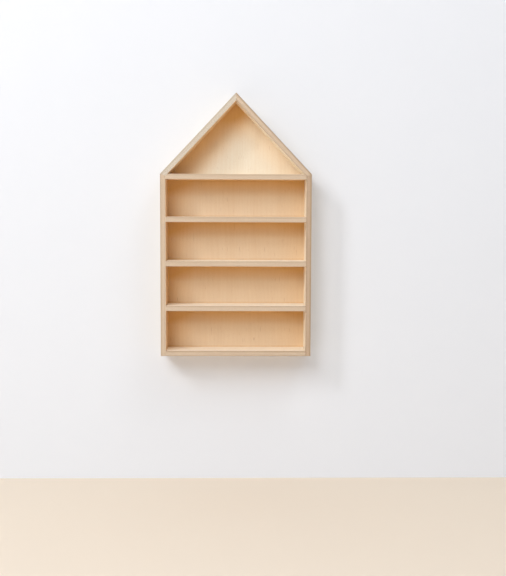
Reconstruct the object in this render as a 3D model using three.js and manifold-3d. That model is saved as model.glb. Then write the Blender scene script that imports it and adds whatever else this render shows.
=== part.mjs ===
// A house-shaped shelf for small figures, open at the front and hung on a wall. Two upright
// sides, two roof boards and a bottom board of birch plywood make the case, four boards
// across it make the bays and the attic, and a thin panel closes its back.
// Millimetres. X runs across the shelf, the open front faces -Y and the wall +Y, and Z is up.
// The origin is on the underside, midway across the width and the depth.
import * as THREE from 'three';
import { mergeVertices } from 'three/addons/utils/BufferGeometryUtils.js';
import Module from 'manifold-3d';

const wasm = await Module();
wasm.setup();

// The case
const overallWidth = 430;
const overallDepth = 92;
const eaveHeight = 520;
const ridgeHeight = 748;
const boardThickness = 15;
const glueLine = 0.3;

// Clear heights of the bays, from the lowest up. The fourth bay takes what is left below the
// attic floor, whose top is level with the eaves.
const lowestBayHeight = 115;
const secondBayHeight = 113;
const thirdBayHeight = 111;

// The back panel and the rabbet that it lies in
const panelThickness = 4;
const panelSetBack = 3;
const rabbetWidth = 8;
const panelClearance = 0.3;

// Wooden dowels in the ends of the boards across the case
const dowelDiameter = 5;
const dowelLength = 30;
const dowelDepthInSide = 9;
const dowelChamfer = 0.6;
const dowelFromEdge = 15;
const holeClearance = 0.3;
const holeRelief = 1;

// Loose splines across the three mitres
const splineThickness = 3;
const splineWidth = 10;
const splineFromInnerCorner = 7.5;
const splineFromDowel = 4;

// Hanger plates of sheet steel, each with a keyhole for the head of a wall screw
const hangerFromSide = 65;
const plateLength = 44;
const plateHeight = 18;
const plateThickness = 1.5;
const plateCornerRadius = 3;
const keyholeHeadDiameter = 8.5;
const keyholeNeckWidth = 4.6;
const keyholeRise = 4.5;
const pocketMargin = 0.4;
const hangerScrewSpacing = 30;

// Countersunk wood screws, and the cross recess in their heads as shares of the head
const hangerScrew = { diameter: 3, headDiameter: 5.6, length: 16, pointLength: 4 };
const panelScrew = { diameter: 2.5, headDiameter: 4.8, length: 12, pointLength: 3.5 };
const recessSpanShare = 0.6;
const recessWidthShare = 0.16;
const recessDepthShare = 0.9;

// The back panel's screws, along each edge of the panel between its corners
const panelScrewFromCorner = 45;
const sideScrewCount = 4;
const roofScrewCount = 2;
const bottomScrewCount = 2;

// How far a cutter runs past the surface that it starts from
const overrun = 2;

// Steps round a dowel, a screw and each arc of an outline
const dowelSteps = 12;
const screwSteps = 12;
const arcSteps = 4;

// Sizes that follow from those above
const halfWidth = overallWidth / 2;
const innerHalfWidth = halfWidth - boardThickness;
const frontY = -overallDepth / 2;
const backY = overallDepth / 2;
const panelBackY = backY - panelSetBack;
const panelFrontY = panelBackY - panelThickness;
const roofAngle = Math.atan2(ridgeHeight - eaveHeight, halfWidth);
const mitreAngle = (Math.PI / 2 - roofAngle) / 2;
const ridgeSetBack = glueLine / 2;
const eaveSetBack = glueLine / 2 / Math.cos(mitreAngle);
const lowerShelfBase = boardThickness + lowestBayHeight;
const middleShelfBase = lowerShelfBase + boardThickness + secondBayHeight;
const upperShelfBase = middleShelfBase + boardThickness + thirdBayHeight;
const atticFloorBase = eaveHeight - boardThickness;

const birch = new THREE.MeshStandardMaterial({ color: 0xe3c49d, roughness: 0.6, metalness: 0 });
const panelBirch = new THREE.MeshStandardMaterial({ color: 0xdcb88c, roughness: 0.6, metalness: 0 });
const beech = new THREE.MeshStandardMaterial({ color: 0xcfa676, roughness: 0.7, metalness: 0 });
const zinc = new THREE.MeshStandardMaterial({ color: 0xb8bcc2, roughness: 0.35, metalness: 1 });

// A closed three.js geometry as a solid that can be joined and cut.
function solid(geometry) {
  const bare = geometry.clone();
  bare.deleteAttribute('normal');
  bare.deleteAttribute('uv');
  const merged = mergeVertices(bare);
  const corners = merged.index.array;
  const kept = [];
  for (let i = 0; i < corners.length; i += 3) {
    const [a, b, c] = [corners[i], corners[i + 1], corners[i + 2]];
    if (a !== b && b !== c && c !== a) kept.push(a, b, c);
  }
  return new wasm.Manifold(new wasm.Mesh({
    numProp: 3,
    vertProperties: Float32Array.from(merged.attributes.position.array),
    triVerts: Uint32Array.from(kept),
  }));
}

// A body with every one of a list of others cut from it.
function cut(body, cutters) {
  return cutters.reduce((rest, cutter) => rest.subtract(cutter), body);
}

// A named mesh of a solid, set at a place.
function piece(name, body, material, place = [0, 0, 0]) {
  const { vertProperties, triVerts } = body.getMesh();
  const geometry = new THREE.BufferGeometry();
  geometry.setAttribute('position', new THREE.BufferAttribute(vertProperties, 3));
  geometry.setIndex(new THREE.BufferAttribute(triVerts, 1));
  geometry.computeVertexNormals();
  const mesh = new THREE.Mesh(geometry, material);
  mesh.name = name;
  mesh.position.set(...place);
  return mesh;
}

// An outline in X and Z, extruded along Y from one depth to another.
function slab(outline, fromY, toY) {
  const geometry = new THREE.ExtrudeGeometry(outline, {
    depth: toY - fromY,
    bevelEnabled: false,
    curveSegments: arcSteps,
  });
  geometry.rotateX(Math.PI / 2);
  geometry.translate(0, toY, 0);
  return geometry;
}

function polygon(points) {
  return new THREE.Shape(points.map(([x, z]) => new THREE.Vector2(x, z)));
}

// A round body about Y, from an outline of radii and places along Y.
function turned(outline) {
  return new THREE.LatheGeometry(outline.map(([r, y]) => new THREE.Vector2(r, y)), screwSteps);
}

// The height of a roof face, as deep inside the outer face as the inset, at a distance from
// the middle.
function roofHeight(fromMiddle, inset) {
  return ridgeHeight - fromMiddle * Math.tan(roofAngle) - inset / Math.cos(roofAngle);
}

// The distance from the middle at which that roof face reaches a height.
function roofReach(height, inset) {
  return (roofHeight(0, inset) - height) / Math.tan(roofAngle);
}

// The five corners of the house outline, inset from the outer faces, from the lower left
// corner round by the right.
function houseCorners(inset) {
  const side = halfWidth - inset;
  const eave = roofHeight(side, inset);
  return [[-side, inset], [side, inset], [side, eave], [0, roofHeight(0, inset)], [-side, eave]];
}

const innerEaveHeight = roofHeight(innerHalfWidth, boardThickness);
const innerRidgeHeight = roofHeight(0, boardThickness);
const sides = [{ name: 'left', sign: -1 }, { name: 'right', sign: 1 }];

// The boards across the case, with the height of their dowels. The attic floor's are midway
// up the upright part of its ends, below the mitre.
const levels = [
  { name: 'bottom', dowelHeight: boardThickness / 2 },
  { name: 'lower', dowelHeight: lowerShelfBase + boardThickness / 2 },
  { name: 'middle', dowelHeight: middleShelfBase + boardThickness / 2 },
  { name: 'upper', dowelHeight: upperShelfBase + boardThickness / 2 },
  { name: 'attic', dowelHeight: (atticFloorBase + innerEaveHeight) / 2 },
];
const dowelRows = [
  { name: 'front', y: frontY + dowelFromEdge },
  { name: 'back', y: panelFrontY - dowelFromEdge },
];
const dowelMiddle = innerHalfWidth + dowelDepthInSide - dowelLength / 2;
const dowelSites = [];
for (const level of levels) {
  for (const side of sides) {
    for (const row of dowelRows) {
      dowelSites.push({
        name: `${level.name}_${side.name}_${row.name}_dowel`,
        place: [side.sign * dowelMiddle, row.y, level.dowelHeight],
      });
    }
  }
}

// A dowel along X, chamfered at both ends.
function dowelBody() {
  const radius = dowelDiameter / 2;
  const half = dowelLength / 2;
  const outline = [[0, -half], [radius - dowelChamfer, -half], [radius, dowelChamfer - half],
    [radius, half - dowelChamfer], [radius - dowelChamfer, half], [0, half]];
  const geometry = new THREE.LatheGeometry(
    outline.map(([r, y]) => new THREE.Vector2(r, y)), dowelSteps);
  geometry.rotateZ(Math.PI / 2);
  return solid(geometry);
}

// The hole that a dowel lies in, part of it in each board.
function dowelHole(site) {
  const radius = dowelDiameter / 2 + holeClearance;
  const geometry = new THREE.CylinderGeometry(
    radius, radius, dowelLength + 2 * holeRelief, dowelSteps);
  geometry.rotateZ(Math.PI / 2);
  geometry.translate(...site.place);
  return solid(geometry);
}

const dowelHoles = dowelSites.map(dowelHole);

// Splines: one across each eave mitre and one across the ridge, between the rows of dowels
const splineFrontY = dowelRows[0].y + dowelDiameter / 2 + splineFromDowel;
const splineBackY = dowelRows[1].y - dowelDiameter / 2 - splineFromDowel;
const splineY = (splineFrontY + splineBackY) / 2;
const splineOut = innerHalfWidth + splineFromInnerCorner * Math.cos(mitreAngle);
const splineUp = innerEaveHeight + splineFromInnerCorner * Math.sin(mitreAngle);
const splineSites = [
  ...sides.map((side) => ({
    name: `${side.name}_eave_spline`,
    place: [side.sign * splineOut, splineY, splineUp],
    turn: side.sign * (Math.PI / 2 - mitreAngle),
  })),
  {
    name: 'ridge_spline',
    place: [0, splineY, innerRidgeHeight + splineFromInnerCorner],
    turn: 0,
  },
];

// A spline that lies flat, or with a clearance the groove for it.
function splineBox(clearance) {
  return new THREE.BoxGeometry(
    splineWidth + 2 * clearance,
    splineBackY - splineFrontY + 2 * clearance,
    splineThickness + 2 * clearance,
  );
}

const splineGrooves = splineSites.map((site) => {
  const geometry = splineBox(holeClearance);
  geometry.rotateY(site.turn);
  geometry.translate(...site.place);
  return solid(geometry);
});

// A countersunk screw's outline from its point to the flat of its head, which is at zero. With
// a clearance it is the outline of the hole that the screw lies in.
function screwOutline(screw, clearance) {
  const shank = screw.diameter / 2 + clearance;
  const head = screw.headDiameter / 2 + clearance;
  const tip = -screw.length - clearance;
  return [[0, tip], [shank, tip + screw.pointLength], [shank, shank - head], [head, 0]];
}

// A screw with a cross recess, its point towards -Y.
function screwBody(screw) {
  const span = screw.headDiameter * recessSpanShare;
  const width = screw.headDiameter * recessWidthShare;
  const depth = (screw.headDiameter - screw.diameter) / 2 * recessDepthShare;
  const arms = [[span, width], [width, span]].map(
    ([x, z]) => solid(new THREE.BoxGeometry(x, 2 * depth, z)));
  return cut(solid(turned([...screwOutline(screw, 0), [0, 0]])), arms);
}

function screwHole(screw, site) {
  const head = screw.headDiameter / 2 + holeClearance;
  const outline = [...screwOutline(screw, holeClearance), [head, overrun], [0, overrun]];
  const geometry = turned(outline);
  geometry.translate(...site.place);
  return solid(geometry);
}

// The back panel's screws, spread along a line in the middle of the rabbet. The edges follow
// the corners of that line.
const screwLine = houseCorners(boardThickness - rabbetWidth / 2);
const panelEdges = [
  { name: 'bottom', count: bottomScrewCount },
  { name: 'right_side', count: sideScrewCount },
  { name: 'right_roof', count: roofScrewCount },
  { name: 'left_roof', count: roofScrewCount },
  { name: 'left_side', count: sideScrewCount },
];
const panelScrewSites = [];
panelEdges.forEach(({ name, count }, i) => {
  const start = new THREE.Vector2(...screwLine[i]);
  const end = new THREE.Vector2(...screwLine[(i + 1) % screwLine.length]);
  const length = start.distanceTo(end);
  const step = (length - 2 * panelScrewFromCorner) / (count - 1);
  for (let n = 0; n < count; n += 1) {
    const at = start.clone().lerp(end, (panelScrewFromCorner + n * step) / length);
    panelScrewSites.push({ name: `${name}_panel_screw_${n + 1}`, place: [at.x, panelBackY, at.y] });
  }
});
const panelScrewHoles = panelScrewSites.map((site) => screwHole(panelScrew, site));

// The hanger plates lie on the panel's back, behind the attic floor, which their screws bite
// in. The keyhole and the pocket behind it stay within the floor's thickness.
const hangerHeight = atticFloorBase + boardThickness / 2;
const keyholeHeight = -keyholeRise / 2;
const plateBackY = panelBackY + plateThickness;
const hangers = sides.map((side) => ({
  name: `${side.name}_hanger`,
  place: [side.sign * (halfWidth - hangerFromSide), panelBackY, hangerHeight],
}));
const hangerScrewSites = hangers.flatMap((hanger) => sides.map((side) => ({
  name: `${hanger.name}_${side.name}_screw`,
  place: [hanger.place[0] + side.sign * hangerScrewSpacing / 2, plateBackY, hangerHeight],
})));
const hangerScrewHoles = hangerScrewSites.map((site) => screwHole(hangerScrew, site));

// A round hole with a slot that rises from it.
function keyhole(headRadius, neckRadius) {
  const joint = Math.acos(neckRadius / headRadius);
  const outline = new THREE.Shape();
  outline.absarc(0, keyholeHeight + keyholeRise, neckRadius, 0, Math.PI, false);
  outline.absarc(0, keyholeHeight, headRadius, Math.PI - joint, 2 * Math.PI + joint, false);
  return outline;
}

// A hanger plate before its screw holes are cut, lying against the panel at Y zero.
function plateBlank() {
  const right = plateLength / 2 - plateCornerRadius;
  const top = plateHeight / 2 - plateCornerRadius;
  const outline = new THREE.Shape();
  outline.absarc(right, top, plateCornerRadius, 0, Math.PI / 2, false);
  outline.absarc(-right, top, plateCornerRadius, Math.PI / 2, Math.PI, false);
  outline.absarc(-right, -top, plateCornerRadius, Math.PI, 1.5 * Math.PI, false);
  outline.absarc(right, -top, plateCornerRadius, 1.5 * Math.PI, 2 * Math.PI, false);
  outline.holes.push(keyhole(keyholeHeadDiameter / 2, keyholeNeckWidth / 2));
  return slab(outline, 0, plateThickness);
}

// The pocket in the panel in which the wall screw's head slides up behind the plate.
function screwPocket(hanger) {
  const radius = keyholeHeadDiameter / 2 + pocketMargin;
  const geometry = slab(keyhole(radius, radius), panelFrontY - overrun, panelBackY + overrun);
  geometry.translate(hanger.place[0], 0, hanger.place[2]);
  return solid(geometry);
}

const screwPockets = hangers.map(screwPocket);
const rabbet = solid(slab(polygon(houseCorners(boardThickness - rabbetWidth)),
  panelFrontY, backY + overrun));

// One of the case's five boards, from its outline, with its rabbet, holes and grooves.
function caseBoard(points) {
  const blank = solid(slab(polygon(points), frontY, backY));
  return cut(blank, [rabbet, ...dowelHoles, ...splineGrooves, ...panelScrewHoles]);
}

// An upright side, mitred at the eave.
function sideBoard(side) {
  const outer = side.sign * halfWidth;
  const inner = side.sign * innerHalfWidth;
  return caseBoard([
    [outer, 0], [inner, 0], [inner, innerEaveHeight - eaveSetBack], [outer, eaveHeight - eaveSetBack],
  ]);
}

// A roof board, mitred at the eave and at the ridge.
function roofBoard(side) {
  const along = eaveSetBack * Math.cos(roofAngle);
  const up = eaveSetBack * Math.sin(roofAngle);
  return caseBoard([
    [side.sign * (halfWidth - along), eaveHeight + up],
    [side.sign * (innerHalfWidth - along), innerEaveHeight + up],
    [side.sign * ridgeSetBack, roofHeight(ridgeSetBack, boardThickness)],
    [side.sign * ridgeSetBack, roofHeight(ridgeSetBack, 0)],
  ]);
}

function bottomBoard() {
  return caseBoard([
    [-innerHalfWidth, 0], [innerHalfWidth, 0],
    [innerHalfWidth, boardThickness], [-innerHalfWidth, boardThickness],
  ]);
}

// A shelf between the sides, from the open front to the back panel.
function shelfBoard(base) {
  const top = base + boardThickness;
  const blank = slab(polygon([
    [-innerHalfWidth, base], [innerHalfWidth, base], [innerHalfWidth, top], [-innerHalfWidth, top],
  ]), frontY, panelFrontY);
  return cut(solid(blank), dowelHoles);
}

// The attic floor, whose ends are bevelled to lie under the roof boards.
function atticFloor() {
  const inset = boardThickness + glueLine;
  const bevelStart = roofHeight(innerHalfWidth, inset);
  const topHalf = roofReach(eaveHeight, inset);
  const blank = slab(polygon([
    [-innerHalfWidth, atticFloorBase], [innerHalfWidth, atticFloorBase],
    [innerHalfWidth, bevelStart], [topHalf, eaveHeight],
    [-topHalf, eaveHeight], [-innerHalfWidth, bevelStart],
  ]), frontY, panelFrontY);
  return cut(solid(blank), [...dowelHoles, ...hangerScrewHoles]);
}

// The house-shaped panel in the rabbet.
function backPanel() {
  const outline = houseCorners(boardThickness - rabbetWidth + panelClearance);
  const blank = solid(slab(polygon(outline), panelFrontY, panelBackY));
  return cut(blank, [...screwPockets, ...hangerScrewHoles, ...panelScrewHoles]);
}

const group = new THREE.Group();
for (const side of sides) {
  group.add(piece(`${side.name}_side`, sideBoard(side), birch));
  group.add(piece(`${side.name}_roof`, roofBoard(side), birch));
}
group.add(piece('bottom_board', bottomBoard(), birch));
group.add(piece('lower_shelf', shelfBoard(lowerShelfBase), birch));
group.add(piece('middle_shelf', shelfBoard(middleShelfBase), birch));
group.add(piece('upper_shelf', shelfBoard(upperShelfBase), birch));
group.add(piece('attic_floor', atticFloor(), birch));
group.add(piece('back_panel', backPanel(), panelBirch));
for (const site of dowelSites) group.add(piece(site.name, dowelBody(), beech, site.place));
for (const site of splineSites) {
  const spline = piece(site.name, solid(splineBox(0)), birch, site.place);
  spline.rotation.y = site.turn;
  group.add(spline);
}
for (const hanger of hangers) {
  const holes = hangerScrewHoles.map(
    (hole) => hole.translate(hanger.place.map((value) => -value)));
  group.add(piece(`${hanger.name}_plate`, cut(solid(plateBlank()), holes), zinc, hanger.place));
}
for (const site of hangerScrewSites) {
  group.add(piece(site.name, screwBody(hangerScrew), zinc, site.place));
}
for (const site of panelScrewSites) {
  group.add(piece(site.name, screwBody(panelScrew), zinc, site.place));
}

export default group;
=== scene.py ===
import math

import bpy
from mathutils import Matrix, Vector


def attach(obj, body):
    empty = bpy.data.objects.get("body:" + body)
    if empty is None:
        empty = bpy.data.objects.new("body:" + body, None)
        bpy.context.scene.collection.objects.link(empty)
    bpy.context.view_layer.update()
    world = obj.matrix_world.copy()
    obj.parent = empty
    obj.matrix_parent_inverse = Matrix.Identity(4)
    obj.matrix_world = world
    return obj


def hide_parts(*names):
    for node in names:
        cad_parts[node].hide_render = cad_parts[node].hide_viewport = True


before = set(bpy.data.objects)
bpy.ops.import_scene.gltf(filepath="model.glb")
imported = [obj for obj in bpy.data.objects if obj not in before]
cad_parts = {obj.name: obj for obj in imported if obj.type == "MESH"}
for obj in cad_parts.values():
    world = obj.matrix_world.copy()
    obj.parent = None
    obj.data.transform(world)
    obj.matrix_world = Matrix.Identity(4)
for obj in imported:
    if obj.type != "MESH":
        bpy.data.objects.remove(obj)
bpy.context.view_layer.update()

# Sides
# Two uprights of 15 mm birch plywood, eleven plies, with the grain of their faces upright. They
# are mitred at the eaves over a loose spline, bored for the dowels of the boards between them,
# and rabbeted along the back for the panel. The arrises are eased with fine paper.
outer_half = 0.215
board_thickness = 0.015
inner_half = outer_half - board_thickness
front = -0.046
back = 0.046
eave_height = 0.520
ridge_height = 0.748
pitch = math.atan2(ridge_height - eave_height, outer_half)
mitre = (math.pi / 2 - pitch) / 2
panel_front = 0.039
rabbet_inset = 0.007
arris_radius = 0.0006
arris_steps = 3
arris_angle = math.radians(30)
smooth_angle = math.radians(35)
flat_limit = 0.999
hairline = 0.00005
overrun = 0.002

dowel_rows = (-0.031, 0.024)
dowel_middle = 0.194
dowel_hole = 0.0028
dowel_hole_length = 0.032
dowel_hole_steps = 24
shelf_bases = {"lower": 0.130, "middle": 0.258, "upper": 0.384}
attic_dowel_height = 0.509525
dowel_heights = [board_thickness / 2]
dowel_heights += [base + board_thickness / 2 for base in shelf_bases.values()]
dowel_heights += [attic_dowel_height]

across_case = Vector((1, 0, 0))
upright = Vector((0, 0, 1))


def roof_height(from_middle, inset):
    """The height of a roof face, inset from the outer face, at a distance from the middle."""
    return ridge_height - from_middle * math.tan(pitch) - inset / math.cos(pitch)


def work_on(piece):
    """Leaves one piece selected and active."""
    bpy.ops.object.select_all(action="DESELECT")
    piece.select_set(True)
    bpy.context.view_layer.objects.active = piece


def add_block(name, middle, size, turn=0):
    """A block at its size and place, turned about Y."""
    bpy.ops.object.select_all(action="DESELECT")
    bpy.ops.mesh.primitive_cube_add(size=1, location=middle, rotation=(0, turn, 0))
    block = bpy.context.object
    block.name = name
    block.scale = size
    bpy.ops.object.transform_apply(location=True, rotation=True, scale=True)
    return block


def add_between(name, low, high):
    """A block between two corners."""
    low = Vector(low)
    high = Vector(high)
    return add_block(name, (low + high) / 2, high - low)


def saw(block, point, outward):
    """Saws off what lies beyond a plane, and closes the cut."""
    work_on(block)
    bpy.ops.object.mode_set(mode="EDIT")
    bpy.ops.mesh.select_all(action="SELECT")
    bpy.ops.mesh.bisect(plane_co=point, plane_no=outward, use_fill=True, clear_outer=True)
    bpy.ops.object.mode_set(mode="OBJECT")


def cut_out(piece, cutter):
    """Cuts the shape of a cutter out of a piece, and throws the cutter away."""
    modifier = piece.modifiers.new("cut", "BOOLEAN")
    modifier.operation = "DIFFERENCE"
    modifier.solver = "EXACT"
    modifier.object = cutter
    work_on(piece)
    bpy.ops.object.modifier_apply(modifier=modifier.name)
    bpy.data.objects.remove(cutter)


def add_house(name, inset, low_y, high_y):
    """A block with the outline of the house, inset from the outer faces of the case."""
    side = outer_half - inset
    peak = Vector((0, 0, roof_height(0, inset)))
    house = add_between(name, (-side, low_y, inset), (side, high_y, peak.z + overrun))
    for sign in (-1, 1):
        saw(house, peak, Vector((sign * math.sin(pitch), 0, math.cos(pitch))))
    return house


def add_bore(middle, axis, radius, length, steps=dowel_hole_steps):
    """A round cutter along an axis."""
    bpy.ops.object.select_all(action="DESELECT")
    turn = axis.to_track_quat("Z", "Y").to_euler()
    bpy.ops.mesh.primitive_cylinder_add(
        vertices=steps, radius=radius, depth=length, location=middle, rotation=turn)
    bpy.ops.object.transform_apply(location=True, rotation=True, scale=True)
    return bpy.context.object


def bore_dowel_holes(board, heights, signs):
    """Bores a row of dowel holes at each height, on the left (-1), on the right (1) or both."""
    for height in heights:
        for sign in signs:
            for row in dowel_rows:
                middle = (sign * dowel_middle, row, height)
                cut_out(board, add_bore(middle, across_case, dowel_hole, dowel_hole_length))


def cut_rabbet(board):
    """Cuts the rabbet for the panel along the back of a board."""
    cut_out(board, add_house("rabbet_cutter", rabbet_inset, panel_front, back + overrun))


def on_plane(points, plane):
    """Whether points all lie in the plane through a place, square to its normal."""
    place, normal = plane
    return all(abs((point - place).dot(normal)) < 2 * hairline for point in points)


def ease(board, joints, radius=arris_radius):
    """Rounds every arris of a board but those that lie in the plane of a joint."""
    work_on(board)
    bpy.ops.object.mode_set(mode="EDIT")
    bpy.ops.mesh.select_mode(type="EDGE")
    bpy.ops.mesh.select_all(action="DESELECT")
    bpy.ops.mesh.edges_select_sharp(sharpness=arris_angle)
    bpy.ops.object.mode_set(mode="OBJECT")
    mesh = board.data
    for edge in mesh.edges:
        ends = [mesh.vertices[i].co for i in edge.vertices]
        if any(on_plane(ends, plane) for plane in joints):
            edge.select = False
    bpy.ops.object.mode_set(mode="EDIT")
    bpy.ops.mesh.bevel(offset=radius, segments=arris_steps, affect="EDGES")
    bpy.ops.object.mode_set(mode="OBJECT")


def smooth(piece, flats):
    """Shades rounded arrises smoothly, and faces across the given directions flat."""
    work_on(piece)
    bpy.ops.object.shade_smooth_by_angle(angle=smooth_angle)
    for face in piece.data.polygons:
        if any(abs(face.normal.dot(flat)) > flat_limit for flat in flats):
            face.use_smooth = False


def copied(piece, name, shift=(0, 0, 0), mirror=False):
    """A copy of a piece with its own mesh, moved, or mirrored across the middle of the case."""
    work_on(piece)
    bpy.ops.object.duplicate(linked=False)
    copy = bpy.context.object
    copy.name = name
    copy.location = shift
    if mirror:
        copy.scale.x = -1
    bpy.ops.object.transform_apply(location=True, rotation=True, scale=True)
    if mirror:
        bpy.ops.object.mode_set(mode="EDIT")
        bpy.ops.mesh.select_all(action="SELECT")
        bpy.ops.mesh.normals_make_consistent(inside=False)
        bpy.ops.object.mode_set(mode="OBJECT")
    return copy


def swatch(red, green, blue):
    """A colour as it is read from a swatch, from 0 to 255, made linear."""
    channels = []
    for value in (red, green, blue):
        share = value / 255
        channels.append(share / 12.92 if share <= 0.04045 else ((share + 0.055) / 1.055) ** 2.4)
    return (*channels, 1)


def add_node(tree, kind, values=None, **settings):
    """A node with its settings, and its inputs set to values or linked to sockets."""
    made = tree.nodes.new(kind)
    for name, value in settings.items():
        setattr(made, name, value)
    for socket, value in (values or {}).items():
        if isinstance(value, bpy.types.NodeSocket):
            tree.links.new(value, made.inputs[socket])
        else:
            made.inputs[socket].default_value = value
    return made


def maths(tree, operation, first, second=0.0, third=0.0, clamp=False):
    """One step of arithmetic on values or sockets."""
    made = add_node(tree, "ShaderNodeMath", {0: first, 1: second, 2: third},
                    operation=operation, use_clamp=clamp)
    return made.outputs[0]


def new_effect(name, inputs, outputs):
    """An empty node group with its named sockets, its input node and its output node."""
    tree = bpy.data.node_groups.new(name, "ShaderNodeTree")
    for label, kind in inputs.items():
        tree.interface.new_socket(name=label, in_out="INPUT", socket_type="NodeSocket" + kind)
    for label, kind in outputs.items():
        tree.interface.new_socket(name=label, in_out="OUTPUT", socket_type="NodeSocket" + kind)
    return tree, tree.nodes.new("NodeGroupInput").outputs, tree.nodes.new("NodeGroupOutput").inputs


def streaks(tree, vector, along, across, detail=2.0, warp=0.0):
    """Noise drawn out along the grain, from its counts to the metre along and across it."""
    drawn = add_node(tree, "ShaderNodeVectorMath", {0: vector, 1: (along, across, across)},
                     operation="MULTIPLY")
    noise = add_node(tree, "ShaderNodeTexNoise",
                     {"Vector": drawn.outputs[0], "Scale": 1.0, "Detail": detail,
                      "Distortion": warp})
    return noise.outputs[0]


def spread(tree, value, low, high, to_low=0.0, to_high=1.0, way="LINEAR"):
    """A value brought from one range to another and held there."""
    made = add_node(tree, "ShaderNodeMapRange",
                    {"Value": value, "From Min": low, "From Max": high,
                     "To Min": to_low, "To Max": to_high}, interpolation_type=way)
    return made.outputs[0]


def blended(tree, share, first, second, way="MIX"):
    """One colour mixed with another."""
    made = add_node(tree, "ShaderNodeMix", {0: share, 6: first, 7: second},
                    data_type="RGBA", blend_type=way)
    return made.outputs[2]


# The face of a birch veneer: broad soft figure, growth bands of about a centimetre, fine
# streaks, open pores and a few brown flecks, all drawn out along the grain.
band_rate = 540
band_wander = 46
broad_share = 0.46
band_share = 0.2
fine_share = 0.34
veneer, given, made = new_effect(
    "birch_veneer",
    {"Vector": "Vector", "Early Wood": "Color", "Late Wood": "Color", "Fleck": "Color"},
    {"Color": "Color", "Roughness": "Float", "Height": "Float"})
broad = streaks(veneer, given["Vector"], 2.4, 24, detail=3, warp=0.5)
wander = streaks(veneer, given["Vector"], 1.6, 7, detail=2)
place = add_node(veneer, "ShaderNodeSeparateXYZ", {0: given["Vector"]})
band_turns = maths(veneer, "MULTIPLY_ADD", place.outputs[1], band_rate,
                   maths(veneer, "MULTIPLY", wander, band_wander))
bands = maths(veneer, "MULTIPLY_ADD", maths(veneer, "SINE", band_turns), 0.5, 0.5)
fine = streaks(veneer, given["Vector"], 26, 760, detail=3)
pores = spread(veneer, streaks(veneer, given["Vector"], 210, 2600, detail=0), 0.64, 0.74)
flecks = spread(veneer, streaks(veneer, given["Vector"], 34, 620, detail=0), 0.80, 0.86)
figure = maths(veneer, "MULTIPLY_ADD", spread(veneer, broad, 0.3, 0.7), broad_share,
               maths(veneer, "MULTIPLY_ADD", bands, band_share,
                     maths(veneer, "MULTIPLY", spread(veneer, fine, 0.3, 0.7), fine_share)))
wood = blended(veneer, figure, given["Early Wood"], given["Late Wood"])
wood = blended(veneer, maths(veneer, "MULTIPLY", pores, 0.16), wood, given["Fleck"])
wood = blended(veneer, maths(veneer, "MULTIPLY", flecks, 0.5), wood, given["Fleck"])
veneer.links.new(wood, made["Color"])
veneer.links.new(spread(veneer, fine, 0.3, 0.7, 0.54, 0.66), made["Roughness"])
veneer.links.new(maths(veneer, "SUBTRACT", fine, maths(veneer, "MULTIPLY", pores, 0.8)),
                 made["Height"])

# The sawn edge of plywood: pale plies that show long grain between darker ones that show end grain,
# with a thin brown glue line between them. The plies waver, each has its own shade, and they darken
# towards one face or both.
ply_waver = 0.00026
stack, given, made = new_effect(
    "ply_stack",
    {"Vector": "Vector", "Ply": "Float", "Outer Ply": "Color", "Inner Ply": "Color",
     "Glue": "Color", "End On": "Float", "Half Thickness": "Float", "Dark Above": "Float",
     "Dark Below": "Float"},
    {"Color": "Color", "Roughness": "Float", "Height": "Float"})
place = add_node(stack, "ShaderNodeSeparateXYZ", {0: given["Vector"]})
waver = maths(stack, "MULTIPLY_ADD", streaks(stack, given["Vector"], 22, 22, detail=3),
              ply_waver, -ply_waver / 2)
height = maths(stack, "ADD", place.outputs[2], waver)
level = maths(stack, "ADD", maths(stack, "DIVIDE", height, given["Ply"]), 0.5)
ply = maths(stack, "FLOOR", level)
odd = maths(stack, "MODULO", maths(stack, "ABSOLUTE", ply), 2)
within = maths(stack, "FRACT", level)
from_glue = maths(stack, "MINIMUM", within, maths(stack, "SUBTRACT", 1, within))
glue = spread(stack, from_glue, 0.03, 0.13, 1, 0)
own_shade = add_node(stack, "ShaderNodeTexWhiteNoise", {"W": ply}, noise_dimensions="1D").outputs[0]
long_grain = streaks(stack, given["Vector"], 40, 2400, detail=3)
end_grain = streaks(stack, given["Vector"], 900, 2200, detail=3)
checks = spread(stack, streaks(stack, given["Vector"], 1500, 260, detail=1), 0.62, 0.72)
shown = maths(stack, "ABSOLUTE", maths(stack, "SUBTRACT", odd, given["End On"]))
long_part = blended(stack, spread(stack, long_grain, 0.25, 0.75, 0, 0.3),
                    given["Outer Ply"], given["Inner Ply"])
end_part = blended(stack, spread(stack, end_grain, 0.3, 0.7, 0, 0.35),
                   given["Inner Ply"], given["Glue"])
end_part = blended(stack, maths(stack, "MULTIPLY", checks, 0.35), end_part, given["Glue"])
wood = blended(stack, shown, end_part, long_part)
drift = streaks(stack, given["Vector"], 6, 420, detail=2)
own_shade = maths(stack, "MULTIPLY_ADD", own_shade, 0.35, spread(stack, drift, 0.35, 0.65, 0, 0.3))
wood = blended(stack, own_shade, wood, given["Inner Ply"])
wood = blended(stack, maths(stack, "MULTIPLY", glue, 0.75), wood, given["Glue"])
from_middle = maths(stack, "DIVIDE", place.outputs[2], given["Half Thickness"])
above = maths(stack, "POWER", maths(stack, "MAXIMUM", from_middle, 0), 2)
below = maths(stack, "MAXIMUM", maths(stack, "MULTIPLY", from_middle, -1), 0)
below = maths(stack, "POWER", below, 2)
toned = maths(stack, "MULTIPLY_ADD", above, given["Dark Above"],
              maths(stack, "MULTIPLY", below, given["Dark Below"]))
wood = blended(stack, toned, wood, given["Glue"])
stack.links.new(wood, made["Color"])
stack.links.new(spread(stack, shown, 0, 1, 0.74, 0.62), made["Roughness"])
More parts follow.
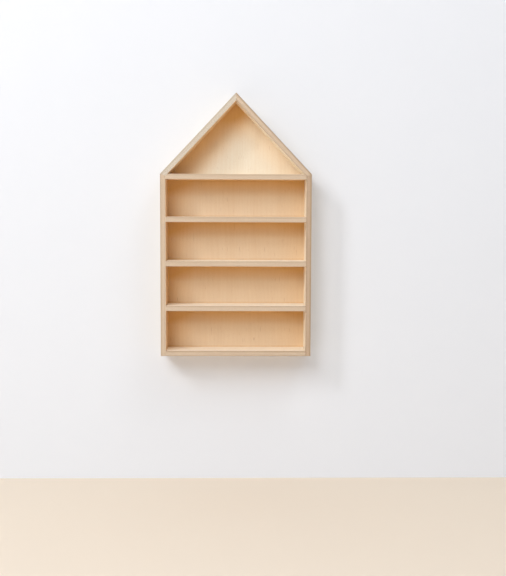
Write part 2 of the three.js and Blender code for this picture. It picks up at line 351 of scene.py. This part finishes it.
stack.links.new(maths(stack, "SUBTRACT", maths(stack, "MULTIPLY", long_grain, 0.5),
                      maths(stack, "MULTIPLY", glue, 0.5)), made["Height"])

# The palest veneer is a painted highlight on the faces that show most and that the light reaches, a
# yellower one is outside, and the deepest is painted shade on undersides and on the inside of the
# left boards, which face away from the light. The edges of the right side are darker, also painted
# shade.
fleck = swatch(178, 132, 86)
lit_face_veneer = {"Early Wood": swatch(254, 246, 231), "Late Wood": swatch(250, 238, 216),
               "Fleck": fleck}
outside_veneer = {"Early Wood": swatch(236, 218, 190), "Late Wood": swatch(229, 205, 171),
                  "Fleck": fleck}
shaded_face_veneer = {"Early Wood": swatch(240, 206, 164), "Late Wood": swatch(229, 189, 142),
               "Fleck": fleck}
pale_plies = {"Outer Ply": swatch(251, 236, 216), "Inner Ply": swatch(206, 180, 151),
              "Glue": swatch(150, 118, 88)}
shaded_plies = {"Outer Ply": swatch(234, 212, 187), "Inner Ply": swatch(187, 158, 129),
              "Glue": swatch(130, 98, 72)}
ply_count = 11
veneer_limit = 0.975
face_relief = 0.00012
edge_relief = 0.0001


def placed(tree, along, through, middle, slide):
    """Object coordinates turned to run along, across and through a board, and slid along it.

    Each board has its own slide, so that no two show the same grain."""
    turn = Matrix((along, through.cross(along), through))
    coordinates = add_node(tree, "ShaderNodeTexCoord")
    mapping = add_node(tree, "ShaderNodeMapping",
                       {"Vector": coordinates.outputs["Object"],
                        "Location": slide - turn @ middle, "Rotation": turn.to_euler("XYZ")})
    return mapping.outputs[0]


def lacquered(name, effect, inputs, seat, grain_depth):
    """Bare wood under a thin satin lacquer, with its pattern from a node group."""
    material = bpy.data.materials.new(name)
    material.use_nodes = True
    tree = material.node_tree
    skin = tree.nodes["Principled BSDF"]
    skin.inputs["Specular IOR Level"].default_value = 0.35
    wood = add_node(tree, "ShaderNodeGroup", node_tree=effect)
    for label, value in inputs.items():
        wood.inputs[label].default_value = value
    tree.links.new(placed(tree, *seat), wood.inputs["Vector"])
    relief = add_node(tree, "ShaderNodeBump",
                      {"Height": wood.outputs["Height"], "Strength": 0.35, "Distance": grain_depth})
    tree.links.new(wood.outputs["Color"], skin.inputs["Base Color"])
    tree.links.new(wood.outputs["Roughness"], skin.inputs["Roughness"])
    tree.links.new(relief.outputs[0], skin.inputs["Normal"])
    return material


# By default the upper face of a board takes the palest veneer, a painted highlight, and its lower
# face the deepest, painted shade.
def finish_plywood(board, along, through, middle, slide, plies=pale_plies, dark_above=0.0,
                   dark_below=0.0, above=lit_face_veneer, below=shaded_face_veneer,
                   thickness=board_thickness, count=ply_count):
    """Gives a board the veneers of its two faces, its long edges and its ends."""
    seat = (along, through, middle, slide)
    edge = {**plies, "Ply": thickness / count, "Half Thickness": thickness / 2,
            "Dark Above": dark_above, "Dark Below": dark_below}
    finishes = (("_face", veneer, above, face_relief), ("_back", veneer, below, face_relief),
                ("_edge", stack, {**edge, "End On": 0.0}, edge_relief),
                ("_end", stack, {**edge, "End On": 1.0}, edge_relief))
    board.data.materials.clear()
    for part, effect, inputs, depth in finishes:
        board.data.materials.append(lacquered(board.name + part, effect, inputs, seat, depth))
    across = through.cross(along)
    smooth(board, (along, across, through))
    for face in board.data.polygons:
        if abs(face.normal.dot(through)) > veneer_limit:
            face.material_index = 0 if face.normal.dot(through) > 0 else 1
        elif abs(face.normal.dot(across)) > abs(face.normal.dot(along)):
            face.material_index = 2
        else:
            face.material_index = 3


eave_corner = Vector((-outer_half, 0, eave_height))
mitre_normal = Vector((math.sin(mitre), 0, math.cos(mitre)))
inner_eave_height = roof_height(inner_half, board_thickness)
spline_slot_size = Vector((0.0106, 0.0426, 0.0036))
spline_from_inside = board_thickness / 2
spline_middle = -0.0035
eave_spline_middle = Vector((-(inner_half + spline_from_inside * math.cos(mitre)), spline_middle,
                             inner_eave_height + spline_from_inside * math.sin(mitre)))
spline_turn = math.pi / 2 - mitre

left_side = add_between("left_side_board", (-outer_half, front, 0),
                        (-inner_half, back, eave_height + overrun))
saw(left_side, eave_corner - mitre_normal * hairline, mitre_normal)
ease(left_side, [(eave_corner, mitre_normal)])
cut_rabbet(left_side)
bore_dowel_holes(left_side, dowel_heights, (-1,))
cut_out(left_side, add_block("slot_cutter", eave_spline_middle, spline_slot_size, -spline_turn))
right_side = copied(left_side, "right_side_board", mirror=True)
side_middle = Vector(((inner_half + outer_half) / 2, 0, 0))
# The inner face of the left side takes the deepest veneer, painted shade, and that of the right
# side the palest, a painted highlight. The right side's darker edges are painted shade too.
finish_plywood(left_side, upright, across_case, -side_middle, slide=Vector((0.31, 0.31, 0)),
               dark_below=0.5, above=shaded_face_veneer, below=outside_veneer)
finish_plywood(right_side, upright, across_case, side_middle, slide=Vector((1.37, 1.37, 0)),
               plies=shaded_plies, dark_above=0.4, dark_below=0.3, above=outside_veneer,
               below=lit_face_veneer)
for board, node in ((left_side, "left_side"), (right_side, "right_side")):
    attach(board, "root")
    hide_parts(node)

# Roof boards
# Two boards of the same plywood with the grain up the slope, mitred to the sides and to each
# other over loose splines. The rabbet runs on along their backs. The front edge of the left one
# was sanded last, and is the palest.
slope_left = Vector((math.cos(pitch), 0, math.sin(pitch)))
roof_out_left = Vector((-math.sin(pitch), 0, math.cos(pitch)))
slope_middle = Vector((-outer_half / 2, 0, (eave_height + ridge_height) / 2))
slope_length = math.hypot(outer_half, ridge_height - eave_height)
ridge_spline_middle = Vector((0, spline_middle,
                              roof_height(0, board_thickness) + spline_from_inside))

left_roof = add_block("left_roof_board", slope_middle - roof_out_left * board_thickness / 2,
                      (slope_length + 4 * board_thickness, back - front, board_thickness), -pitch)
saw(left_roof, Vector((-hairline, 0, 0)), across_case)
saw(left_roof, eave_corner + mitre_normal * hairline, -mitre_normal)
ease(left_roof, [(eave_corner, mitre_normal), (Vector((0, 0, 0)), across_case)])
cut_rabbet(left_roof)
cut_out(left_roof, add_block("slot_cutter", eave_spline_middle, spline_slot_size, -spline_turn))
cut_out(left_roof, add_block("slot_cutter", ridge_spline_middle, spline_slot_size))
right_roof = copied(left_roof, "right_roof_board", mirror=True)
sanded_plies = {"Outer Ply": swatch(249, 244, 234), "Inner Ply": swatch(208, 192, 170),
                "Glue": swatch(156, 132, 110)}
# The inside of the left roof takes the deepest veneer, painted shade, and that of the right roof
# the palest, a painted highlight.
roof_boards = ((left_roof, "left_roof", -1, 0.77, sanded_plies, 0.35, 0.0, shaded_face_veneer),
               (right_roof, "right_roof", 1, 2.21, pale_plies, 0.9, 0.4, lit_face_veneer))
for board, node, sign, slide, plies, dark_above, dark_below, inside in roof_boards:
    slope = Vector((slope_left.x, 0, -sign * slope_left.z))
    outward = Vector((sign * math.sin(pitch), 0, math.cos(pitch)))
    middle = Vector((sign * outer_half / 2, 0, slope_middle.z)) - outward * board_thickness / 2
    finish_plywood(board, slope, outward, middle, slide=Vector((slide, slide, 0)), plies=plies,
                   dark_above=dark_above, dark_below=dark_below, above=outside_veneer, below=inside)
    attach(board, "root")
    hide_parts(node)

# Bottom board
# It lies between the sides, flush with their lower ends, and is held by two dowels at each end.
# Its grain runs across the case, and the rabbet takes the lower edge of the panel.
end_joints = [(Vector((sign * inner_half, 0, 0)), across_case) for sign in (-1, 1)]
bottom = add_between("bottom_board_board", (-inner_half + hairline, front, 0),
                     (inner_half - hairline, back, board_thickness))
ease(bottom, end_joints)
cut_rabbet(bottom)
bore_dowel_holes(bottom, [board_thickness / 2], (-1, 1))
finish_plywood(bottom, across_case, upright, Vector((0, 0, board_thickness / 2)),
               slide=Vector((3.1, 0.4, 0)), dark_above=0.6, dark_below=0.4)
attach(bottom, "root")
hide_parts("bottom_board")

# Shelves
# Three boards between the sides, from the open front to the panel, each on four dowels. Their
# grain runs across the case, so the front edge shows the long grain of the face plies.
through_case = Vector((0, 1, 0))
back_joint = (Vector((0, panel_front, 0)), through_case)
lower_base = shelf_bases["lower"]
lower_shelf = add_between("lower_shelf_board", (-inner_half + hairline, front, lower_base),
                          (inner_half - hairline, panel_front, lower_base + board_thickness))
ease(lower_shelf, [*end_joints, back_joint])
bore_dowel_holes(lower_shelf, [lower_base + board_thickness / 2], (-1, 1))
shelves = {"lower": lower_shelf}
for level in ("middle", "upper"):
    rise = Vector((0, 0, shelf_bases[level] - lower_base))
    shelves[level] = copied(lower_shelf, level + "_shelf_board", rise)
for level, slide in (("lower", 4.3), ("middle", 5.9), ("upper", 7.2)):
    shelf = shelves[level]
    middle = Vector((0, 0, shelf_bases[level] + board_thickness / 2))
    finish_plywood(shelf, across_case, upright, middle, slide=Vector((slide, slide, 0)),
                   dark_above=0.25)
    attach(shelf, "root")
    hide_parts(level + "_shelf")

# Attic floor
# Its top is level with the eaves, so its ends are bevelled to lie under the roof boards. The
# hanger plates are screwed through the panel to its back edge.
attic_base = eave_height - board_thickness
hanger_height = attic_base + board_thickness / 2

attic = add_between("attic_floor_board", (-inner_half + hairline, front, attic_base),
                    (inner_half - hairline, panel_front, eave_height))
roof_joints = []
for sign in (-1, 1):
    outward = Vector((sign * math.sin(pitch), 0, math.cos(pitch)))
    under_roof = Vector((0, 0, roof_height(0, board_thickness)))
    saw(attic, under_roof - outward * hairline, outward)
    roof_joints.append((under_roof, outward))
ease(attic, [*end_joints, back_joint, *roof_joints])
bore_dowel_holes(attic, [attic_dowel_height], (-1, 1))
finish_plywood(attic, across_case, upright, Vector((0, 0, hanger_height)),
               slide=Vector((8.8, 8.1, 0)), dark_above=0.15)
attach(attic, "root")
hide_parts("attic_floor")

# Dowels
# Twenty beech dowels, two in each end of every board across the case, glued in bored holes.
# They run along X and don't show once the case is together.
beech_pale = swatch(222, 184, 140)
beech_dark = swatch(196, 150, 106)
dowel_wood = lacquered(
    "dowel_beech", veneer, {"Early Wood": beech_pale, "Late Wood": beech_dark, "Fleck": fleck},
    (across_case, upright, Vector((0, 0, 0)), Vector((0.2, 0.6, 0))), edge_relief)
for name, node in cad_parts.items():
    if name.endswith("_dowel"):
        node.material_slots[0].material = dowel_wood

# Splines
# Three slips of thin birch plywood glued in slots across the mitres, one at each eave and one at
# the ridge. They run along Y, hidden in the joints.
spline_wood = lacquered(
    "spline_birch", veneer, lit_face_veneer,
    (through_case, upright, Vector((0, 0, 0)), Vector((0.9, 1.6, 0))), edge_relief)
for name in ("left_eave_spline", "right_eave_spline", "ridge_spline"):
    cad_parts[name].material_slots[0].material = spline_wood

# Back panel
# A house-shaped sheet of 4 mm three-ply birch with upright grain, screwed in the rabbet 3 mm
# inside the back edge. Two keyhole pockets in it take the heads of the wall screws.
panel_back = 0.043
panel_inset = 0.0073
panel_arris = 0.0002
panel_plies = 3
hanger_middle = 0.150
keyhole_rise = 0.0045
keyhole_height = hanger_height - keyhole_rise / 2
pocket_radius = 0.00465
cutter_length = 0.01

panel = add_house("back_panel_sheet", panel_inset, panel_front, panel_back)
ease(panel, [], panel_arris)
for sign in (-1, 1):
    for rise in (0, keyhole_rise):
        middle = (sign * hanger_middle, (panel_front + panel_back) / 2, keyhole_height + rise)
        cut_out(panel, add_bore(middle, through_case, pocket_radius, cutter_length))
    cut_out(panel, add_between(
        "pocket_cutter",
        (sign * hanger_middle - pocket_radius, panel_front - overrun, keyhole_height),
        (sign * hanger_middle + pocket_radius, panel_back + overrun,
         keyhole_height + keyhole_rise)))
panel_veneer = {"Early Wood": swatch(251, 243, 226), "Late Wood": swatch(245, 232, 210),
                "Fleck": fleck}
finish_plywood(panel, upright, through_case, Vector((0, (panel_front + panel_back) / 2, 0)),
               slide=Vector((11.3, 9.7, 0)), above=panel_veneer, below=panel_veneer,
               thickness=panel_back - panel_front, count=panel_plies)

# Painted shade on the front of the panel: a deeper, more amber tone below each board, along the
# uprights, under the slopes, a little towards the bottom, and in a thin line above each board,
# where the case keeps the light off.
painted_shade, given, made = new_effect(
    "painted_shade_tone", {"Vector": "Vector", "Color": "Color", "Shade Color": "Color"},
    {"Color": "Color"})
place = add_node(painted_shade, "ShaderNodeSeparateXYZ", {0: given["Vector"]})
sideways = place.outputs[0]
height = place.outputs[2]
below_board = 1.0
above_board = 1.0
for base in (0, *shelf_bases.values(), attic_base):
    gap = maths(painted_shade, "SUBTRACT", base, height)
    below_board = maths(painted_shade, "MINIMUM", below_board,
                        maths(painted_shade, "ADD", gap, maths(painted_shade, "LESS_THAN", gap, 0)))
    gap = maths(painted_shade, "SUBTRACT", height, base + board_thickness)
    above_board = maths(painted_shade, "MINIMUM", above_board,
                        maths(painted_shade, "ADD", gap, maths(painted_shade, "LESS_THAN", gap, 0)))
below_ridge = maths(painted_shade, "MULTIPLY_ADD", height, -math.cos(pitch),
                    roof_height(0, board_thickness) * math.cos(pitch))
below_left = maths(painted_shade, "MULTIPLY_ADD", sideways, math.sin(pitch), below_ridge)
below_right = maths(painted_shade, "MULTIPLY_ADD", sideways, -math.sin(pitch), below_ridge)
# Each share of painted shade runs from one value to another over a stretch given in metres.
by_board = maths(painted_shade, "ADD", spread(painted_shade, below_board, 0, 0.05, 0.52, 0),
                 spread(painted_shade, below_board, 0.05, 0.11, 0.48, 0.37))
by_side = maths(painted_shade, "ADD", spread(painted_shade, sideways, -0.2, -0.12, 0.35, 0),
                spread(painted_shade, sideways, 0.1, 0.2, 0, 0.12))
low_down = spread(painted_shade, height, 0.1, 0.45, 0.08, 0)
bay_share = maths(painted_shade, "ADD", by_board, maths(painted_shade, "ADD", by_side, low_down))
attic_share = maths(painted_shade, "ADD", spread(painted_shade, below_left, 0, 0.1, 0.9, 0, "SMOOTHSTEP"),
                    spread(painted_shade, below_right, 0, 0.09, 0.35, 0, "SMOOTHSTEP"))
in_attic = spread(painted_shade, height, attic_base, eave_height)
share = add_node(painted_shade, "ShaderNodeMix", {0: in_attic, 2: bay_share, 3: attic_share}).outputs[0]
# The thin dark line above each board, where it meets the panel, is painted shade.
contact_shade = spread(painted_shade, above_board, 0, 0.005, 0.25, 0)
share = maths(painted_shade, "ADD", share, contact_shade, clamp=True)
painted_shade.links.new(blended(painted_shade, share, given["Color"], given["Shade Color"], "MULTIPLY"),
                  made["Color"])

# The front face of the panel takes the painted shade, in an amber colour, over its veneer.
tree = panel.data.materials[1].node_tree
skin = tree.nodes["Principled BSDF"]
coordinates = add_node(tree, "ShaderNodeTexCoord")
painted_shade_node = add_node(tree, "ShaderNodeGroup", node_tree=painted_shade)
painted_shade_node.inputs["Shade Color"].default_value = swatch(230, 186, 125)
tree.links.new(coordinates.outputs["Object"], painted_shade_node.inputs["Vector"])
tree.links.new(skin.inputs["Base Color"].links[0].from_socket, painted_shade_node.inputs["Color"])
tree.links.new(painted_shade_node.outputs["Color"], skin.inputs["Base Color"])
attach(panel, "root")
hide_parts("back_panel")

# Hanger plates
# Two plates of 1.5 mm zinc-plated steel with rounded corners. The head of a wall screw goes in
# the round of the keyhole and slides up its neck, and two wood screws hold each plate.
plate_size = Vector((0.044, 0.0015, 0.018))
plate_corner = 0.003
plate_corner_steps = 8
plate_arris = 0.00015
plate_back = 0.0445
keyhole_head = 0.00425
keyhole_neck = 0.0023
hanger_screw_head = 0.0028
hanger_screw_shank = 0.0015
hanger_screw_spacing = 0.030
screw_clearance = 0.0003
sink_tip = 0.001
round_steps = 40
neck_steps = 32

zinc, given, made = new_effect(
    "zinc_plating", {"Vector": "Vector", "Bright": "Color", "Dull": "Color"},
    {"Color": "Color", "Roughness": "Float", "Height": "Float"})
cloud = add_node(zinc, "ShaderNodeTexNoise",
                 {"Vector": given["Vector"], "Scale": 260, "Detail": 3}).outputs[0]
rolled = streaks(zinc, given["Vector"], 120, 5200, detail=1)
zinc.links.new(blended(zinc, spread(zinc, cloud, 0.35, 0.65), given["Bright"], given["Dull"]),
               made["Color"])
zinc.links.new(maths(zinc, "MULTIPLY_ADD", rolled, 0.12, spread(zinc, cloud, 0.3, 0.7, 0.32, 0.44)),
               made["Roughness"])
zinc.links.new(rolled, made["Height"])

zinc_steel = bpy.data.materials.new("zinc_steel")
zinc_steel.use_nodes = True
tree = zinc_steel.node_tree
skin = tree.nodes["Principled BSDF"]
skin.inputs["Metallic"].default_value = 1.0
coordinates = add_node(tree, "ShaderNodeTexCoord")
plating = add_node(tree, "ShaderNodeGroup", node_tree=zinc)
plating.inputs["Bright"].default_value = swatch(194, 197, 203)
plating.inputs["Dull"].default_value = swatch(158, 163, 172)
tree.links.new(coordinates.outputs["Object"], plating.inputs["Vector"])
relief = add_node(tree, "ShaderNodeBump",
                  {"Height": plating.outputs["Height"], "Strength": 0.15, "Distance": 0.00004})
tree.links.new(plating.outputs["Color"], skin.inputs["Base Color"])
tree.links.new(plating.outputs["Roughness"], skin.inputs["Roughness"])
tree.links.new(relief.outputs[0], skin.inputs["Normal"])


def open_faces(piece, chosen):
    """Opens a piece for editing, with only the faces selected that a test picks."""
    work_on(piece)
    bpy.ops.object.mode_set(mode="EDIT")
    bpy.ops.mesh.select_mode(type="FACE")
    bpy.ops.mesh.select_all(action="DESELECT")
    bpy.ops.object.mode_set(mode="OBJECT")
    for face in piece.data.polygons:
        face.select = chosen(face)
    bpy.ops.object.mode_set(mode="EDIT")


plate_middle = Vector((-hanger_middle, panel_back + plate_size.y / 2, hanger_height))
left_plate = add_block("left_keyhole_plate", plate_middle, plate_size)
mesh = left_plate.data
bpy.ops.object.mode_set(mode="EDIT")
bpy.ops.mesh.select_mode(type="EDGE")
bpy.ops.mesh.select_all(action="DESELECT")
bpy.ops.object.mode_set(mode="OBJECT")
for edge in mesh.edges:
    first, last = [mesh.vertices[i].co for i in edge.vertices]
    edge.select = abs((first - last).y) > plate_size.y / 2
bpy.ops.object.mode_set(mode="EDIT")
bpy.ops.mesh.bevel(offset=plate_corner, segments=plate_corner_steps, affect="EDGES")
bpy.ops.object.mode_set(mode="OBJECT")
hole_middle = Vector((-hanger_middle, plate_middle.y, keyhole_height))
neck_middle = hole_middle + upright * keyhole_rise
cut_out(left_plate, add_bore(hole_middle, through_case, keyhole_head, cutter_length, round_steps))
cut_out(left_plate, add_bore(neck_middle, through_case, keyhole_neck, cutter_length, neck_steps))
neck_side = Vector((keyhole_neck, cutter_length / 2, 0))
cut_out(left_plate, add_between("neck_cutter", hole_middle - neck_side, neck_middle + neck_side))
for sign in (-1, 1):
    middle = Vector((sign * hanger_screw_spacing / 2 - hanger_middle, plate_back, hanger_height))
    wide = hanger_screw_head + screw_clearance
    sink = add_bore(middle, through_case, wide, 2 * wide, round_steps)
    open_faces(sink, lambda face: face.normal.y < -0.9)
    bpy.ops.transform.resize(value=(sink_tip, 1, sink_tip), center_override=middle)
    bpy.ops.object.mode_set(mode="OBJECT")
    cut_out(left_plate, sink)
    narrow = hanger_screw_shank + screw_clearance
    cut_out(left_plate, add_bore(middle, through_case, narrow, cutter_length, round_steps))
ease(left_plate, [(Vector((0, panel_back, 0)), through_case)], plate_arris)
smooth(left_plate, [through_case])
right_plate = copied(left_plate, "right_keyhole_plate", (2 * hanger_middle, 0, 0))
for plate, side in ((left_plate, "left"), (right_plate, "right")):
    plate.data.materials.clear()
    plate.data.materials.append(zinc_steel)
    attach(plate, "root")
    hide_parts(side + "_hanger_plate")

# Hanger screws
# Four zinc-plated wood screws, 3 by 16 mm, with flat countersunk heads and a cross recess. They
# go through the plates and the panel into the back edge of the attic floor.
hanger_screw_length = 0.016
hanger_screw_point = 0.004
screw_rim = 0.0002
point_share = 0.06
recess_span = 1.2
recess_width = 0.32
recess_depth = 1.8
first_turn = 0.4
next_turn = 1.9


def turn_screw(place, head, shank, length, point):
    """A countersunk blank that points to -Y, with the flat of its head at a place."""
    blank = add_bore(place - through_case * screw_rim / 2, through_case, head, screw_rim,
                     round_steps)
    taper = head - shank
    steps = ((taper, shank / head), (length - screw_rim - taper - point, 1), (point, point_share))
    for depth, width in steps:
        lowest = min(blank.data.polygons, key=lambda face: face.center.y).index
        open_faces(blank, lambda face: face.index == lowest)
        bpy.ops.mesh.extrude_region_move(TRANSFORM_OT_translate={"value": (0, -depth, 0)})
        bpy.ops.transform.resize(value=(width, 1, width), center_override=place)
        bpy.ops.object.mode_set(mode="OBJECT")
    return blank


def make_screw(name, place, head, shank, length, point):
    """A screw with a cross recess in its head."""
    screw = turn_screw(place, head, shank, length, point)
    screw.name = name
    ease(screw, [], screw_rim / 3)
    depth = recess_depth * (head - shank)
    for across, up in ((recess_span, recess_width), (recess_width, recess_span)):
        cut_out(screw, add_block("recess_cutter", place, (head * across, depth, head * up)))
    smooth(screw, [through_case])
    screw.data.materials.clear()
    screw.data.materials.append(zinc_steel)
    return screw


def fix_screw(screw, node, place, turn):
    """Leaves a screw turned as the driver left it, and ties it to its node."""
    work_on(screw)
    bpy.ops.object.mode_set(mode="EDIT")
    bpy.ops.mesh.select_all(action="SELECT")
    bpy.ops.transform.rotate(value=turn, orient_axis="Y", center_override=place)
    bpy.ops.object.mode_set(mode="OBJECT")
    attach(screw, "root")
    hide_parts(node)


def add_bit(place, head, shank, length, point):
    """A drill and countersink for a screw, set a hairline deeper, that stands out above it."""
    bit = turn_screw(place - through_case * hairline, head + screw_clearance,
                     shank + screw_clearance, length + screw_clearance, point)
    highest = max(bit.data.polygons, key=lambda face: face.center.y).index
    open_faces(bit, lambda face: face.index == highest)
    bpy.ops.transform.translate(value=(0, overrun, 0))
    bpy.ops.object.mode_set(mode="OBJECT")
    return bit


def drill(board, places, *screw):
    """Drills and countersinks a board for all its screws of a kind in one cut."""
    bits = [add_bit(place, *screw) for place in places]
    work_on(bits[0])
    for bit in bits:
        bit.select_set(True)
    bpy.ops.object.join()
    cut_out(board, bits[0])


hanger_screw = (hanger_screw_head, hanger_screw_shank, hanger_screw_length, hanger_screw_point)
hanger_screw_places = {}
for side, sign in (("left", -1), ("right", 1)):
    for end, way in (("left", -1), ("right", 1)):
        hanger_screw_places[side + "_hanger_" + end] = Vector((
            sign * hanger_middle + way * hanger_screw_spacing / 2, plate_back, hanger_height))
first_place = hanger_screw_places["left_hanger_left"]
first_screw = make_screw("hanger_wood_screw", first_place, *hanger_screw)
for board in (panel, attic):
    drill(board, hanger_screw_places.values(), *hanger_screw)
for number, (name, place) in enumerate(hanger_screw_places.items()):
    screw = copied(first_screw, name + "_wood_screw", place - first_place)
    fix_screw(screw, name + "_screw", place, next_turn * number + first_turn)
bpy.data.objects.remove(first_screw)

# Panel screws
# Fourteen smaller screws of the same kind, driven through the panel into the shoulder of the
# rabbet: two along the bottom, four up each side and two up each slope of the roof.
panel_screw = (0.0024, 0.00125, 0.012, 0.0035)
panel_screw_from_corner = 0.045
screw_line_inset = 0.011
first_panel_turn = 0.9
next_panel_turn = 2.3

line_side = outer_half - screw_line_inset
line_eave = roof_height(line_side, screw_line_inset)
screw_line = [Vector((-line_side, panel_back, screw_line_inset)),
              Vector((line_side, panel_back, screw_line_inset)),
              Vector((line_side, panel_back, line_eave)),
              Vector((0, panel_back, roof_height(0, screw_line_inset))),
              Vector((-line_side, panel_back, line_eave))]
panel_edges = (("bottom", bottom, 2), ("right_side", right_side, 4), ("right_roof", right_roof, 2),
               ("left_roof", left_roof, 2), ("left_side", left_side, 4))
first_place = screw_line[0]
first_screw = make_screw("panel_wood_screw", first_place, *panel_screw)
panel_screw_places = []
for edge, (name, board, count) in enumerate(panel_edges):
    start = screw_line[edge]
    end = screw_line[(edge + 1) % len(screw_line)]
    along = (end - start).normalized()
    step = ((end - start).length - 2 * panel_screw_from_corner) / (count - 1)
    places = [start + along * (panel_screw_from_corner + number * step) for number in range(count)]
    drill(board, places, *panel_screw)
    panel_screw_places += places
    for number, place in enumerate(places):
        label = name + "_panel"
        turn = next_panel_turn * (edge + number) + first_panel_turn
        screw = copied(first_screw, f"{label}_wood_screw_{number + 1}", place - first_place)
        fix_screw(screw, f"{label}_screw_{number + 1}", place, turn)
drill(panel, panel_screw_places, *panel_screw)
bpy.data.objects.remove(first_screw)

# Wall and floor
# A plain white wall just behind the case and a plain pale floor below it. The wall is seen from
# the front only, and has an opening behind the case, so that the back is seen and lit as well.
wall_half = 4.0
wall_top = 4.0
wall_thickness = 0.1
floor_height = -0.384
wall_opening_inset = 0.0005
wall_gap = 0.0002
floor_fade_start = 1.0
floor_fade_end = 2.3
room_colour = swatch(248, 248, 250)


def matt(name, colour):
    """A plain matt paint."""
    material = bpy.data.materials.new(name)
    material.use_nodes = True
    skin = material.node_tree.nodes["Principled BSDF"]
    skin.inputs["Base Color"].default_value = colour
    skin.inputs["Roughness"].default_value = 0.9
    skin.inputs["Specular IOR Level"].default_value = 0.2
    return material


wall = add_between("wall", (-wall_half, back + wall_gap, floor_height),
                   (wall_half, back + wall_thickness, wall_top))
cut_out(wall, add_house("opening_cutter", wall_opening_inset, back - overrun,
                        back + 2 * wall_thickness))
open_faces(wall, lambda face: face.normal.y > -0.9)
bpy.ops.mesh.delete(type="FACE")
bpy.ops.object.mode_set(mode="OBJECT")
wall_paint = matt("wall_paint", swatch(239, 243, 250))
tree = wall_paint.node_tree
skin = tree.nodes["Principled BSDF"]
sides_of_wall = add_node(tree, "ShaderNodeNewGeometry")
nothing = add_node(tree, "ShaderNodeBsdfTransparent")
one_way = add_node(tree, "ShaderNodeMixShader",
                   {0: sides_of_wall.outputs["Backfacing"], 1: skin.outputs[0],
                    2: nothing.outputs[0]})
tree.links.new(one_way.outputs[0], tree.nodes["Material Output"].inputs["Surface"])
wall.data.materials.append(wall_paint)

bpy.ops.object.select_all(action="DESELECT")
bpy.ops.mesh.primitive_plane_add(size=2 * wall_half, location=(0, 0, floor_height))
bpy.ops.object.transform_apply(location=True, rotation=True, scale=True)
floor = bpy.context.object
floor.name = "floor"
floor_paint = matt("floor_paint", swatch(232, 219, 202))
tree = floor_paint.node_tree
from_case = add_node(tree, "ShaderNodeVectorMath",
                     {0: add_node(tree, "ShaderNodeTexCoord").outputs["Object"]},
                     operation="LENGTH").outputs["Value"]
path = add_node(tree, "ShaderNodeLightPath")
faded = maths(tree, "MULTIPLY", spread(tree, from_case, floor_fade_start, floor_fade_end),
              path.outputs["Is Camera Ray"])
haze = add_node(tree, "ShaderNodeEmission", {"Color": room_colour, "Strength": 1.0})
far_floor = add_node(tree, "ShaderNodeMixShader",
                     {0: faded, 1: tree.nodes["Principled BSDF"].outputs[0], 2: haze.outputs[0]})
tree.links.new(far_floor.outputs[0], tree.nodes["Material Output"].inputs["Surface"])
floor.data.materials.append(floor_paint)

# Light
# A tall narrow window light from the left, a soft light nearer the front, a weaker one from the
# upper right, and an even pale room. A lamp behind the wall lights the back of the case.
lamp_target = Vector((0, 0, 0.35))
room_level = 0.435


def add_lamp(name, azimuth, elevation, distance, width, height, watts):
    """An area lamp that faces the case, some degrees to the left of the front and some up."""
    left = math.radians(azimuth)
    high = math.radians(elevation)
    towards = Vector((-math.sin(left) * math.cos(high), -math.cos(left) * math.cos(high),
                      math.sin(high)))
    data = bpy.data.lights.new(name, "AREA")
    data.shape = "RECTANGLE"
    data.size = width
    data.size_y = height
    data.energy = watts
    lamp = bpy.data.objects.new(name, data)
    bpy.context.collection.objects.link(lamp)
    lamp.location = lamp_target + towards * distance
    lamp.rotation_euler = towards.to_track_quat("Z", "Y").to_euler()
    lamp.visible_camera = False


add_lamp("window_light", azimuth=48, elevation=36, distance=5.0, width=0.7, height=1.4,
         watts=68)
add_lamp("soft_light", azimuth=20, elevation=30, distance=5.0, width=1.8, height=1.8,
         watts=68)
add_lamp("right_light", azimuth=-45, elevation=55, distance=5.0, width=1.8, height=1.8,
         watts=47)
add_lamp("back_light", azimuth=165, elevation=20, distance=3.0, width=2.0, height=2.0,
         watts=38)

world = bpy.data.worlds.new("room")
bpy.context.scene.world = world
world.use_nodes = True
tree = world.node_tree
room = tree.nodes["Background"]
room.inputs["Color"].default_value = room_colour
path = add_node(tree, "ShaderNodeLightPath")
seen = maths(tree, "MAXIMUM", path.outputs["Is Camera Ray"],
             maths(tree, "MAXIMUM", path.outputs["Is Glossy Ray"],
                   path.outputs["Is Transmission Ray"]))
tree.links.new(spread(tree, seen, 0, 1, room_level, 1.0), room.inputs["Strength"])

# Camera
# It stands 2.73 m in front of the case, a little above its middle, and looks slightly down and
# to the right with a 60 mm lens, as the photograph was taken.
camera_place = Vector((-0.0035, -2.7713, 0.4261))
dip = math.radians(4.815)
swing = math.radians(1.105)
roll = math.radians(0.198)

camera_data = bpy.data.cameras.new("camera")
camera_data.sensor_width = 36
camera_data.lens = 59.8
camera = bpy.data.objects.new("camera", camera_data)
bpy.context.collection.objects.link(camera)
ahead = Vector((math.sin(swing) * math.cos(dip), math.cos(swing) * math.cos(dip), -math.sin(dip)))
level_right = Vector((math.cos(swing), -math.sin(swing), 0))
level_up = level_right.cross(ahead)
right = level_right * math.cos(roll) + level_up * math.sin(roll)
up = level_up * math.cos(roll) - level_right * math.sin(roll)
facing = Matrix((right, up, -ahead)).transposed().to_4x4()
camera.matrix_world = Matrix.Translation(camera_place) @ facing
bpy.context.scene.camera = camera

bpy.context.scene.view_settings.view_transform = "Standard"
